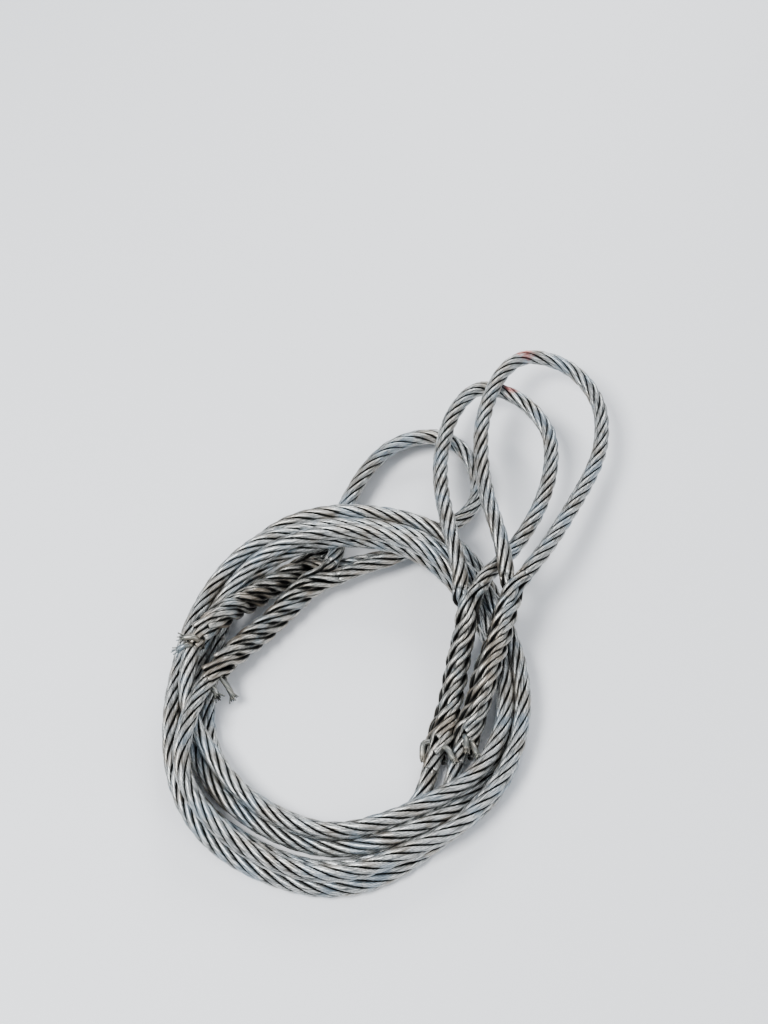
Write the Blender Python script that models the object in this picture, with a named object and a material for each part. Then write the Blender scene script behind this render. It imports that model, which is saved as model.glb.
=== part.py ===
"""Pair of hand-spliced wire rope slings, wound together into one flat coil.

Each sling is one rope with a soft eye spliced into either end. Sling one ends in the
front and back eyes, sling two in the middle and tucked eyes. The coil lies on z = 0.
Metres, +Z up. The origin is under the middle of the whole bundle.
"""

import math

import bmesh
import bpy
from mathutils import Vector

MM = 0.001
ROPE_D = 12.0 * MM
ROPE_R = ROPE_D / 2
GAP = 0.3 * MM
THROAT_GAP = 2.6 * MM
JOIN_GAP = 1.0 * MM
STRAND_D = ROPE_D / 3
CHAMFER = 3.0 * MM
ROPE_STEP = 2.0 * ROPE_D
LEAD_STEP = 0.7 * ROPE_D
SPLICE_STEP = 1.2 * ROPE_D
COIL_STATIONS = 48
CENTRE = Vector((37.43, 76.36, 0.0)) * MM

# The coil's section round its own middle: angle in degrees, anticlockwise from +X, then in
# millimetres the inner wall, the seam between the two slings' turns, the outer wall, the
# underside, and the heights of the inner and the outer turns.
COIL_KEYS = [
    (0, 104.5, 118.5, 132.5, 0, 24, 24),
    (20, 107.5, 120.5, 134, 1, 24, 24),
    (40, 112, 125, 141, 8, 24, 22),
    (62, 113.5, 126.5, 151.5, 25, 24, 13),
    (90, 113.5, 126.5, 151.5, 25, 24, 13),
    (109, 113, 126, 150, 23, 24, 15),
    (119, 117.5, 130.5, 146, 15, 24, 20),
    (129, 116.2, 129, 142.5, 7, 24, 24),
    (141, 113, 126, 139, 0, 24, 24),
    (155, 106, 120.5, 133, 0, 16, 24),
    (170, 96, 119.2, 131.8, 0, 12.3, 24),
    (190, 96, 119.2, 131.8, 0, 12.3, 24),
    (215, 98, 120, 141, 0, 18, 20),
    (235, 95.5, 120, 149, 0, 22.6, 20),
    (270, 96, 121.5, 146.5, 0, 22.6, 20),
    (300, 97, 118.5, 138, 0, 23, 22),
    (330, 101, 117, 132.8, 0, 24, 24),
]

# Routes in millimetres from the coil's middle. An eye runs from throat to throat.
FRONT_EYE = [
    (116, 78, 46), (114, 95, 52), (110, 114, 56), (105, 137, 56), (102, 163, 54), (102, 190, 51),
    (104, 214, 49), (111, 242, 46), (120, 265, 44), (133, 284, 41), (148, 293, 38), (166, 291, 36),
    (182, 282, 34), (194, 267, 32), (201, 247, 31), (201, 227, 31), (195, 201, 32), (184, 176, 34),
    (170, 150, 37), (156, 124, 41), (143, 101, 44), (135, 88, 46), (129, 78, 46),
]
MIDDLE_EYE = [
    (82, 68, 44), (82, 82, 49), (78, 100, 54), (74, 124, 52), (71, 152, 46), (71, 181, 40),
    (74, 205, 36), (81, 233, 32), (93, 255, 31), (106, 265, 31), (122, 263, 31), (138, 253, 31),
    (150, 238, 31), (158, 220, 31), (159, 198, 31), (155, 174, 31), (146, 148, 32), (135, 126, 34),
    (123, 107, 36), (111, 92, 38), (101, 80, 41), (95, 68, 44),
]
BACK_EYE = [
    (-13, 105, 18.5), (-8, 118, 18.5), (-7, 132, 18.5), (-5, 150, 18.5), (2, 169, 18.5),
    (15, 194, 18.5), (31, 213, 18.5), (50, 223, 18.5), (69, 225, 18.5), (85, 217, 18.5),
    (96, 202, 18.5), (101, 182, 18.5), (99, 163, 18.5), (90, 149, 18.5), (77, 139, 18.5),
    (63, 131, 18.5), (49, 120, 18.5), (34, 111, 18.5), (18, 105, 18.5), (3, 99, 18.5), (-8, 93, 18.5),
]
TUCKED_EYE = [
    (-24, 120, 6.2), (-13, 130, 6.2), (-8, 143, 6.2), (-4, 160, 6.2), (3, 179, 6.2), (15, 203, 6.2),
    (31, 222, 6.2), (50, 233, 6.2), (70, 235, 6.2), (86, 227, 6.2), (97, 211, 6.2), (102, 190, 6.2),
    (100, 171, 6.2), (91, 157, 6.2), (78, 147, 6.2), (64, 139, 6.2), (50, 129, 6.2), (34, 121, 6.2),
    (18, 116, 6.2), (2, 112, 6.2), (-10, 109, 6.2), (-18, 109, 6.2),
]
FRONT_SPLICE = [
    (122, 77, 46), (119, 64, 43), (114, 50, 40), (108, 31, 36), (99, 8, 33), (93, -11, 23),
    (85, -31, 13), (77, -50, 9.5),
]
MIDDLE_SPLICE = [
    (88.5, 67, 44), (88, 56, 40), (86, 44, 33), (82, 29, 24), (77, 7, 15), (72, -15, 11),
    (65, -36, 10), (59, -56, 8.5),
]
BACK_SPLICE = [
    (-11, 98.5, 18), (-22, 92, 17.5), (-32, 84, 16), (-46, 72, 15), (-62, 56, 14.5), (-78, 38, 17),
    (-90, 20, 21), (-98, 4, 24.5),
]
TUCKED_SPLICE = [
    (-22, 114, 9), (-31, 108, 9), (-43, 100, 10), (-60, 87, 13), (-74, 71, 21), (-87, 56, 32),
    (-99, 42, 34.5), (-108, 27, 34.5),
]
FRONT_LEAD = [(77, -50, 9.5), (75, -53.5, 8.8), (73, -57, 8.2), (70.5, -60.5, 7.6)]
MIDDLE_LEAD = [(59, -56, 8.5), (54, -65, 7), (50, -73, 6.4), (45, -80, 6.2)]
BACK_LEAD = [
    (-98, 4, 24.5), (-102.5, -9, 30), (-107, -26, 33.5), (-110, -46, 33), (-111, -64, 31.5),
]
TUCKED_LEAD = [
    (-108, 27, 34.5), (-112, 13, 31), (-112.5, 1, 24), (-111, -12, 19), (-107, -26, 19.5),
    (-104, -33, 20.8),
]

# The radius of a splice along its length, from the throat to the last tuck, in millimetres.
SPLICE_RADII = [9.2, 9.6, 9.0, 8.6, 8.2, 7.8, 7.2, 6.4]

# Cut strand ends beside the last tucks: where each starts and where it points, in millimetres.
FRONT_CUT_ENDS = [((85.5, -41, 20.5), (-1, -8, 5)), ((79, -34, 21.5), (-4, -6, 3))]
MIDDLE_CUT_ENDS = [((68.5, -42, 19), (1, -10, 3)), ((54, -36, 10), (-5, -8, -1))]
BACK_CUT_ENDS = [((-82, 13, 17), (7, -11, -4)), ((-92, -1, 22), (4, -9, 4))]
TUCKED_CUT_ENDS = [((-104, 48, 39), (-9, 2, 2)), ((-113, 37, 38), (-8, 6, -1))]


def clear_scene():
    """Remove every object."""
    for obj in list(bpy.data.objects):
        bpy.data.objects.remove(obj, do_unlink=True)


def steel(name, colour, roughness):
    """A bare metal material."""
    material = bpy.data.materials.new(name)
    material.use_nodes = True
    shader = material.node_tree.nodes["Principled BSDF"]
    shader.inputs["Base Color"].default_value = (*colour, 1.0)
    shader.inputs["Roughness"].default_value = roughness
    shader.inputs["Metallic"].default_value = 0.9
    return material


def catmull(before, start, end, after, t):
    """The point at t from start to end on the smooth curve through four values."""
    return 0.5 * (
        2 * start
        + (end - before) * t
        + (2 * before - 5 * start + 4 * end - after) * t * t
        + (3 * start - before - 3 * end + after) * t * t * t
    )


def smooth_route(points, step, before=None, after=None):
    """Points about step apart on the smooth curve through the route, in metres.

    before and after are the neighbouring route's points, so that two stretches meet square.
    """
    knots = [Vector(p) * MM - CENTRE for p in points]
    ahead = 2 * knots[0] - knots[1] if before is None else Vector(before) * MM - CENTRE
    beyond = 2 * knots[-1] - knots[-2] if after is None else Vector(after) * MM - CENTRE
    knots = [ahead, *knots, beyond]
    fine = []
    for i in range(1, len(knots) - 2):
        fine += [catmull(*knots[i - 1 : i + 3], k / 24) for k in range(24)]
    fine.append(knots[-2])
    lengths = [0.0]
    for a, b in zip(fine, fine[1:]):
        lengths.append(lengths[-1] + (b - a).length)
    count = max(2, round(lengths[-1] / step))
    found, at = [], 0
    for k in range(count + 1):
        target = lengths[-1] * k / count
        while at < len(fine) - 2 and lengths[at + 1] < target:
            at += 1
        share = (target - lengths[at]) / (lengths[at + 1] - lengths[at])
        found.append(fine[at].lerp(fine[at + 1], min(1.0, share)))
    return found


def tube(name, points, radii, finish):
    """A round tube with closed ends along points, with its radius at each of them."""
    curve = bpy.data.curves.new(name, "CURVE")
    curve.dimensions = "3D"
    curve.bevel_depth = 1.0
    curve.bevel_resolution = 3
    curve.render_resolution_u = 0
    curve.use_fill_caps = True
    spline = curve.splines.new("POLY")
    spline.points.add(len(points) - 1)
    for spot, place, radius in zip(spline.points, points, radii):
        spot.co = (*place, 1.0)
        spot.radius = radius
    obj = bpy.data.objects.new(name, curve)
    bpy.context.scene.collection.objects.link(obj)
    obj.data.materials.append(finish)
    return obj


def trimmed(points, first, last):
    """The points with each end drawn back along the line by its own length."""
    points[0] += (points[1] - points[0]).normalized() * first
    points[-1] += (points[-2] - points[-1]).normalized() * last
    return points


def rope(name, route, finish):
    """A stretch of rope along a route, one gap short of it at each end."""
    points = trimmed(smooth_route(route, ROPE_STEP), GAP, GAP)
    return tube(name, points, [ROPE_R] * len(points), finish)


def lead_rope(name, route, before, finish):
    """The rope that leaves a splice's last tuck for the coil."""
    points = trimmed(smooth_route(route, LEAD_STEP, before=before), JOIN_GAP, GAP)
    return tube(name, points, [ROPE_R] * len(points), finish)


def splice(name, route, after, finish):
    """The tucked length below an eye, thick at the throat and tapered to the last tuck."""
    points = smooth_route(route, SPLICE_STEP, after=after)
    radii = []
    for k in range(len(points)):
        at = k / (len(points) - 1) * (len(SPLICE_RADII) - 1)
        low = min(int(at), len(SPLICE_RADII) - 2)
        share = at - low
        radii.append((SPLICE_RADII[low] * (1 - share) + SPLICE_RADII[low + 1] * share) * MM)
    return tube(name, trimmed(points, THROAT_GAP, JOIN_GAP), radii, finish)


def hinged_eye(name, route, pivot, finish):
    """An eye whose origin is on the axis that it lifts about."""
    obj = rope(name, route, finish)
    spot = Vector(pivot) * MM - CENTRE
    for point in obj.data.splines[0].points:
        point.co = (*(point.co.to_3d() - spot), 1.0)
    obj.location = spot
    return obj


def add_rod(mesh, start, reach):
    """Add a straight cut strand end to a bmesh."""
    direction = reach.normalized()
    across = direction.orthogonal().normalized()
    up = direction.cross(across)
    sides, radius = 8, STRAND_D / 2
    rings = []
    for centre in (start, start + reach):
        ring = []
        for k in range(sides):
            turn = 2 * math.pi * k / sides
            ring.append(mesh.verts.new(centre + radius * (math.cos(turn) * across + math.sin(turn) * up)))
        rings.append(ring)
    for k in range(sides):
        nxt = (k + 1) % sides
        mesh.faces.new((rings[0][k], rings[0][nxt], rings[1][nxt], rings[1][k]))
    mesh.faces.new(rings[0][::-1])
    mesh.faces.new(rings[1])


def mesh_object(name, mesh, finish):
    """Finish a bmesh as an object, faces outward."""
    bmesh.ops.recalc_face_normals(mesh, faces=mesh.faces)
    data = bpy.data.meshes.new(name)
    mesh.to_mesh(data)
    mesh.free()
    obj = bpy.data.objects.new(name, data)
    bpy.context.scene.collection.objects.link(obj)
    obj.data.materials.append(finish)
    return obj


def cut_ends(name, ends, finish):
    """The strand ends left beside a splice, one object each."""
    for number, (start, reach) in enumerate(ends, 1):
        mesh = bmesh.new()
        add_rod(mesh, Vector(start) * MM - CENTRE, Vector(reach) * MM)
        mesh_object(f"{name}_{number}", mesh, finish)


def coil_section(angle):
    """The coil's six section sizes at an angle in degrees, smooth all the way round."""
    count = len(COIL_KEYS)
    low = max(i for i in range(count) if COIL_KEYS[i][0] <= angle)
    spans = [COIL_KEYS[(low + j) % count] for j in (-1, 0, 1, 2)]
    width = (spans[2][0] - spans[1][0]) % 360
    share = (angle - spans[1][0]) / width
    eased = share * share * (3 - 2 * share)
    return [a + (b - a) * eased for a, b in zip(spans[1][1:], spans[2][1:])]


def coil(name, is_outer, finish):
    """One sling's wound turns as a closed ring of chamfered section."""
    mesh = bmesh.new()
    rings = []
    for k in range(COIL_STATIONS):
        angle = 360 * k / COIL_STATIONS
        inner, seam, outer, under, inner_high, outer_high = coil_section(angle)
        low_r, high_r = (seam * MM + GAP, outer * MM) if is_outer else (inner * MM, seam * MM)
        low_z = under * MM
        high_z = low_z + (outer_high if is_outer else inner_high) * MM
        profile = [
            (low_r + CHAMFER, low_z), (high_r - CHAMFER, low_z),
            (high_r, low_z + CHAMFER), (high_r, high_z - CHAMFER),
            (high_r - CHAMFER, high_z), (low_r + CHAMFER, high_z),
            (low_r, high_z - CHAMFER), (low_r, low_z + CHAMFER),
        ]
        turn = math.radians(angle)
        out = Vector((math.cos(turn), math.sin(turn), 0.0))
        rings.append([mesh.verts.new(out * r + Vector((0, 0, z)) - CENTRE) for r, z in profile])
    for ring, following in zip(rings, rings[1:] + rings[:1]):
        for k in range(len(ring)):
            nxt = (k + 1) % len(ring)
            mesh.faces.new((ring[k], ring[nxt], following[nxt], following[k]))
    return mesh_object(name, mesh, finish)


def main():
    """Build both slings."""
    clear_scene()
    wire = steel("galvanised_rope", (0.50, 0.51, 0.50), 0.42)
    tucked = steel("spliced_strand", (0.36, 0.35, 0.33), 0.48)
    cut = steel("cut_wire", (0.30, 0.29, 0.27), 0.55)
    coil("front_sling_coil", True, wire)
    coil("middle_sling_coil", False, wire)
    hinged_eye("front_eye", FRONT_EYE, (105, 74, 55), wire)
    hinged_eye("middle_eye", MIDDLE_EYE, (105, 74, 55), wire)
    rope("back_eye", BACK_EYE, wire)
    rope("tucked_eye", TUCKED_EYE, wire)
    for side, spliced, lead, ends in (
        ("front", FRONT_SPLICE, FRONT_LEAD, FRONT_CUT_ENDS),
        ("middle", MIDDLE_SPLICE, MIDDLE_LEAD, MIDDLE_CUT_ENDS),
        ("back", BACK_SPLICE, BACK_LEAD, BACK_CUT_ENDS),
        ("tucked", TUCKED_SPLICE, TUCKED_LEAD, TUCKED_CUT_ENDS),
    ):
        splice(f"{side}_splice", spliced, lead[1], tucked)
        lead_rope(f"{side}_lead", lead, spliced[-2], wire)
        cut_ends(f"{side}_cut_end", ends, cut)


if __name__ == "__main__":
    main()
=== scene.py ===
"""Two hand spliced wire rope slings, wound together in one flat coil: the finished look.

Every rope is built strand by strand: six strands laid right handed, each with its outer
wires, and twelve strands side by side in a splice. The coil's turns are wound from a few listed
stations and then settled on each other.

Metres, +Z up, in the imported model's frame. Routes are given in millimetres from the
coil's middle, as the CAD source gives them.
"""

from __future__ import annotations

import logging
import math
from dataclasses import dataclass, field
from enum import Enum

import bpy
import numpy as np
from mathutils import Matrix, Vector

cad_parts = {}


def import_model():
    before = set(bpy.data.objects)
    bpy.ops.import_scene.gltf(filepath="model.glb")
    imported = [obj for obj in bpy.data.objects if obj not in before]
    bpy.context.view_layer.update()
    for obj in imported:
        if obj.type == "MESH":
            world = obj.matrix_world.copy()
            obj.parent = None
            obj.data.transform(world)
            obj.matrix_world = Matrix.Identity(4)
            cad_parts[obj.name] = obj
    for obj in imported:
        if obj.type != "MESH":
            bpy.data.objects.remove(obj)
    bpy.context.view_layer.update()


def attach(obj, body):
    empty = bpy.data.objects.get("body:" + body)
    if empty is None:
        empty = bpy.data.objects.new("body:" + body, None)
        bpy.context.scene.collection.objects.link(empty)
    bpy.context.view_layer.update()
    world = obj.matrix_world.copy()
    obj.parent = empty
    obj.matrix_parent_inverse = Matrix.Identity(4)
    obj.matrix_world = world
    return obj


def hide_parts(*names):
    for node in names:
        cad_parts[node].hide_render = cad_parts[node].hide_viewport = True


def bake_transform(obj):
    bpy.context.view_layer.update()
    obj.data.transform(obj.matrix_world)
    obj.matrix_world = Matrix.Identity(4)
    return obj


LOG = logging.getLogger("wire_rope_slings")
MM = 0.001
COIL_MIDDLE = np.array([-37.43, -76.36, 0.0]) * MM
Points = np.ndarray
Place = tuple[float, float, float]
Colour = tuple[float, float, float]
Route = list[Place]
Socket = bpy.types.NodeSocket
Feed = Socket | float | tuple[float, ...]


class End(Enum):
    """The four ends of the two slings, named by where their eyes lie."""

    FRONT = "front"
    MIDDLE = "middle"
    BACK = "back"
    TUCKED = "tucked"


class Fray(Enum):
    """How a tucked strand's tail was left, as how far its wires spread for their length."""

    TRIMMED = 0.03
    SPLAYED = 0.42


# ---------------------------------------------------------------- routes, in millimetres

EYES: dict[End, Route] = {
    End.FRONT: [
        (116, 78, 46), (114, 95, 52), (110, 114, 56), (105, 137, 56), (102, 163, 54),
        (102, 190, 51), (104, 214, 49), (111, 242, 46), (120, 265, 44), (133, 284, 41),
        (148, 293, 38), (166, 291, 36), (182, 282, 34), (194, 267, 32), (201, 247, 31),
        (201.5, 227, 31), (197, 201, 32), (187, 176, 34), (173.5, 150, 37), (159, 124, 41),
        (145, 101, 44), (136, 88, 46), (129, 78, 46),
    ],
    End.MIDDLE: [
        (82, 68, 44), (82, 82, 49), (78, 100, 54), (74, 124, 52), (71, 152, 46), (71, 181, 40),
        (74, 205, 36), (81, 233, 32), (93, 255, 31), (106, 265, 31), (122, 263, 31),
        (138, 253, 31), (150, 238, 31), (158, 220, 31), (159, 198, 31), (155, 174, 31),
        (146, 148, 32), (135, 126, 34), (123, 107, 36), (111, 92, 38), (101, 80, 41),
        (95, 68, 44),
    ],
    End.BACK: [
        (-13, 105, 18.5), (-8, 118, 18.5), (-7, 132, 18.5), (-5, 150, 18.5), (2, 169, 18.5),
        (15, 194, 18.5), (31, 213, 18.5), (50, 223, 18.5), (69, 225, 18.5), (85, 217, 18.5),
        (96, 202, 18.5), (101, 182, 18.5), (99, 163, 18.5), (90, 149, 18.5), (77, 139, 18.5),
        (63, 131, 18.5), (49, 120, 18.5), (34, 111, 18.5), (18, 105, 18.5), (3, 99, 18.5),
        (-8, 93, 18.5),
    ],
    End.TUCKED: [
        (-24, 120, 6.2), (-13, 130, 6.2), (-8, 143, 6.2), (-4, 160, 6.2), (3, 179, 6.2),
        (15, 203, 6.2), (31, 222, 6.2), (50, 233, 6.2), (70, 235, 6.2), (86, 227, 6.2),
        (97, 211, 6.2), (102, 190, 6.2), (100, 171, 6.2), (91, 157, 6.2), (78, 147, 6.2),
        (64, 139, 6.2), (50, 129, 6.2), (34, 121, 6.2), (18, 116, 6.2), (2, 112, 6.2),
        (-10, 109, 6.2), (-18, 109, 6.2),
    ],
}

SPLICES: dict[End, Route] = {
    End.FRONT: [
        (122, 77, 46), (119, 64, 43), (114, 50, 40), (108, 31, 36), (99, 8, 33), (93, -11, 23),
        (85, -31, 13), (77, -50, 9.5),
    ],
    End.MIDDLE: [
        (88.5, 67, 44), (88, 56, 40), (86, 44, 33), (82, 29, 24), (77, 7, 15), (72, -15, 11),
        (65, -36, 10), (59, -56, 8.5),
    ],
    End.BACK: [
        (-11, 98.5, 18), (-22, 92, 17.5), (-32, 84, 16), (-44, 70, 15), (-59, 53, 14.5),
        (-75, 36, 17), (-88, 19, 21), (-98, 4, 24.5),
    ],
    End.TUCKED: [
        (-22, 114, 9), (-31, 108, 9), (-43, 100, 10), (-60, 87, 13), (-74, 71, 21),
        (-87, 56, 32), (-99, 42, 34.5), (-108, 27, 34.5),
    ],
}

LEADS: dict[End, Route] = {
    End.FRONT: [
        (77, -50, 9.5), (76, -56, 8.6), (75.3, -62, 7.8), (74.8, -68, 7.2), (73.8, -74, 6.6),
    ],
    End.MIDDLE: [
        (59, -56, 8.5), (57.5, -63, 7.4), (56, -70, 6.6), (54, -77, 6.2), (50.5, -84, 6.1),
    ],
    End.BACK: [
        (-98, 4, 24.5), (-102.5, -9, 30), (-107, -26, 33.5), (-110, -46, 33), (-111, -64, 31.5),
    ],
    End.TUCKED: [
        (-108, 27, 34.5), (-112, 13, 31), (-112.5, 1, 24), (-111, -12, 19), (-107, -26, 19.5),
        (-104, -33, 20.8),
    ],
}

# Stations of each sling's turns in the coil: angle in degrees, wound clockwise, then the
# distance from the coil's middle and the height, in millimetres.
OUTER_TURNS: Route = [
    (-49, 107, 6), (-57, 109, 6), (-66, 113, 6), (-76, 119, 6), (-86, 123, 6), (-95, 125, 6),
    (-103, 125.4, 6), (-112, 124.6, 6), (-120, 124.2, 6), (-132, 125.5, 6), (-145, 127, 6),
    (-155, 127, 6), (-170, 122, 6),
    (-180, 119.8, 6), (-192, 119, 6), (-205, 121.5, 6), (-212, 126, 6), (-219, 131, 6),
    (-231, 137, 13), (-241, 141, 21), (-253, 145, 29), (-270, 145, 31), (-298, 145, 31),
    (-320, 135, 21), (-331, 129, 12), (-340, 127.5, 8), (-352, 126, 6), (-360, 126, 6),
    (-375, 125.8, 6), (-385, 125.5, 6), (-395, 124.5, 6), (-405, 122, 6), (-415, 120, 6),
    (-422, 119.8, 6), (-430, 123, 6), (-438, 129.5, 6), (-445, 134, 6), (-452, 136.7, 6),
    (-459, 137.4, 6), (-464, 137, 6), (-472, 136.6, 6), (-480, 137, 6.5), (-490, 138, 9),
    (-500, 136, 13), (-510, 131.5, 17), (-520, 127, 18), (-530, 122.5, 18), (-540, 120, 18),
    (-552, 119, 18), (-565, 121.5, 18), (-572, 125.5, 18), (-579, 130.5, 18), (-591, 135, 25),
    (-601, 136, 32), (-613, 133, 31), (-630, 133, 31), (-658, 133, 31), (-680, 131, 24),
    (-700, 127, 19), (-712, 126.2, 18), (-720, 126, 18), (-735, 126, 18), (-745, 125.5, 18),
    (-755, 124.5, 18), (-765, 122, 18), (-775, 120, 18), (-785, 119.5, 17.5),
    (-793, 122, 17), (-800, 125.5, 17), (-810, 130.3, 16.5), (-820, 131.2, 16.5),
    (-832, 130.5, 16.5), (-840, 130, 17), (-852, 130, 22), (-861, 129, 27),
]
INNER_TURNS: Route = [
    (-66, 99.5, 6), (-75, 100, 6), (-90, 100, 6), (-109, 98.5, 6), (-120, 98, 6),
    (-132, 99.5, 6), (-145, 102, 6), (-165, 102, 6), (-180, 101, 6), (-197, 103, 6),
    (-207, 108.5, 6), (-219, 117.5, 6), (-231, 122, 13), (-241, 123, 21), (-251, 120, 29),
    (-270, 120, 31),
    (-298, 120, 31), (-320, 118, 14), (-330, 115.5, 9), (-340, 114.5, 7), (-352, 114, 6),
    (-360, 114, 6), (-378, 113.8, 6), (-395, 112, 6), (-406, 109.5, 8), (-415, 108, 12),
    (-428, 110, 18), (-440, 110.5, 12), (-450, 110.2, 6), (-469, 109.7, 6), (-480, 108.5, 6),
    (-492, 110, 8), (-505, 112.5, 11), (-520, 112, 11), (-540, 111, 9), (-555, 112, 10),
    (-566, 115, 16), (-579, 118.5, 18), (-591, 122, 25), (-601, 123, 33), (-611, 120, 41),
    (-630, 120, 43), (-658, 120, 43), (-680, 117, 26), (-700, 114.5, 19), (-712, 114, 18),
    (-720, 114, 18), (-738, 113.8, 18), (-755, 111, 18), (-778, 106, 20), (-795, 105, 18),
    (-810, 104, 16.4), (-829, 103.7, 16.4), (-840, 101.8, 16.4), (-852, 101.5, 16.6),
    (-865, 102, 17), (-880, 103, 18),
]

# Tails of tucked strands that stand out of each splice: start, and reach from there.
TAILS: dict[End, list[tuple[Place, Place]]] = {
    End.FRONT: [((88, -41, 19.5), (3, -10, 2)), ((83.5, -38, 21.5), (0, -10, 1))],
    End.MIDDLE: [((71, -44, 18), (5, -10, 1)), ((54.5, -38, 13), (-1, -11, -3))],
    End.BACK: [((-84, 5, 16), (5, -8, -5)), ((-92, -1, 21), (3, -6, 1))],
    End.TUCKED: [((-107, 30, 42), (-9, 0, -1)), ((-113, 24, 40), (-6, -2, -3))],
}


# ---------------------------------------------------------------- small geometry helpers


def smoothstep(low: float, high: float, value: np.ndarray) -> np.ndarray:
    """Return a smooth rise from 0 at low to 1 at high."""
    share = np.clip((value - low) / (high - low), 0.0, 1.0)
    return share * share * (3 - 2 * share)


def unit(vectors: np.ndarray) -> np.ndarray:
    """Return the vectors scaled to length 1."""
    return vectors / np.maximum(np.linalg.norm(vectors, axis=-1, keepdims=True), 1e-12)


def in_frame(route: Route) -> Points:
    """Return a route's points in metres in the model's frame.

    Args:
        route: Points in millimetres from the coil's middle.

    Returns:
        The same points as an array, in metres.
    """
    return np.array(route, float) * MM + COIL_MIDDLE


def resampled(points: Points, step: float) -> Points:
    """Return points evenly spaced along a polyline.

    Args:
        points: The polyline's points.
        step: The spacing wanted, in metres.

    Returns:
        Points about one step apart, with the first and last kept.
    """
    lengths = np.concatenate([[0.0], np.cumsum(np.linalg.norm(np.diff(points, axis=0), axis=1))])
    count = max(2, round(lengths[-1] / step))
    wanted = np.linspace(0.0, lengths[-1], count + 1)
    return np.stack([np.interp(wanted, lengths, points[:, k]) for k in range(3)], axis=1)


def smooth_curve(points: Points, step: float) -> Points:
    """Return the Catmull-Rom curve through points, evenly spaced.

    Args:
        points: The points that the curve passes through.
        step: The spacing wanted, in metres.

    Returns:
        Points along the curve.
    """
    ends = (2 * points[0] - points[1], 2 * points[-1] - points[-2])
    knots = np.vstack([ends[0], points, ends[1]])
    share = np.linspace(0.0, 1.0, 24, endpoint=False)[:, None]
    runs = []
    for before, start, end, after in zip(knots, knots[1:], knots[2:], knots[3:]):
        runs.append(
            0.5
            * (
                2 * start
                + (end - before) * share
                + (2 * before - 5 * start + 4 * end - after) * share**2
                + (3 * start - before - 3 * end + after) * share**3
            )
        )
    return resampled(np.vstack([*runs, points[-1:]]), step)


def relaxed(points: Points, rounds: int) -> Points:
    """Return points with small bends smoothed out, the ends kept.

    Args:
        points: The points.
        rounds: How often they are smoothed.

    Returns:
        The points, smoothed.
    """
    points = points.copy()
    for _ in range(rounds):
        points[1:-1] += 0.5 * ((points[:-2] + points[2:]) / 2 - points[1:-1])
    return points


def contact(
    gap: Points, reach: np.ndarray | float, apart: np.ndarray | bool
) -> tuple[Points, np.ndarray]:
    """Return how things that lie in each other push each other.

    Args:
        gap: The way to each thing from each of the others, which are on the second axis.
        reach: How far apart two of them should lie.
        apart: Which pairs don't push.

    Returns:
        The push on each thing, and how many others touch it.
    """
    distance = np.maximum(np.linalg.norm(gap, axis=-1), 1e-9)
    overlap = np.where(apart, 0.0, np.clip(reach - distance, 0.0, None))
    push = np.sum(gap / distance[..., None] * overlap[..., None], axis=1)
    return push, np.sum(overlap > 0, axis=1)


@dataclass
class Centreline:
    """A rope's axis with a frame that doesn't twist along it."""

    points: Points
    tangents: Points = field(init=False)
    across: Points = field(init=False)
    upward: Points = field(init=False)
    lengths: np.ndarray = field(init=False)

    def __post_init__(self) -> None:
        """Work out tangents, lengths and the frame carried along the line."""
        self.tangents = unit(np.gradient(self.points, axis=0))
        steps = np.linalg.norm(np.diff(self.points, axis=0), axis=1)
        self.lengths = np.concatenate([[0.0], np.cumsum(steps)])
        across = np.array([0.0, 0.0, 1.0])
        if abs(self.tangents[0] @ across) > 0.9:
            across = np.array([1.0, 0.0, 0.0])
        carried = []
        for tangent in self.tangents:
            across = across - tangent * (across @ tangent)
            across = across / np.linalg.norm(across)
            carried.append(across)
        self.across = np.array(carried)
        self.upward = np.cross(self.tangents, self.across)

    @property
    def length(self) -> float:
        """The line's whole length."""
        return float(self.lengths[-1])

    def around(self, radius: np.ndarray | float, angle: np.ndarray) -> Points:
        """Return points round the line, one for each of its points.

        Args:
            radius: How far from the line they are.
            angle: The angle at which each lies.

        Returns:
            The points.
        """
        radius = np.broadcast_to(radius, angle.shape)[:, None]
        spread = np.cos(angle)[:, None] * self.across + np.sin(angle)[:, None] * self.upward
        return self.points + radius * spread

    def angle_of(self, spot: np.ndarray, index: int) -> float:
        """Return the angle at which a point lies round the line at one of its points."""
        offset = spot - self.points[index]
        return math.atan2(offset @ self.upward[index], offset @ self.across[index])


# ---------------------------------------------------------------- strands


@dataclass(frozen=True)
class RopeSize:
    """The rope's make-up."""

    diameter: float = 12 * MM
    strands: int = 6
    ring_radius: float = 4.0 * MM
    strand_radius: float = 2.06 * MM
    lay_length: float = 78 * MM
    wires: int = 12
    wire_depth: float = 0.24 * MM
    wire_lay: float = 32 * MM
    groove_depth: float = 3.2 * MM
    step: float = 3.2 * MM


ROPE = RopeSize()


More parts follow.
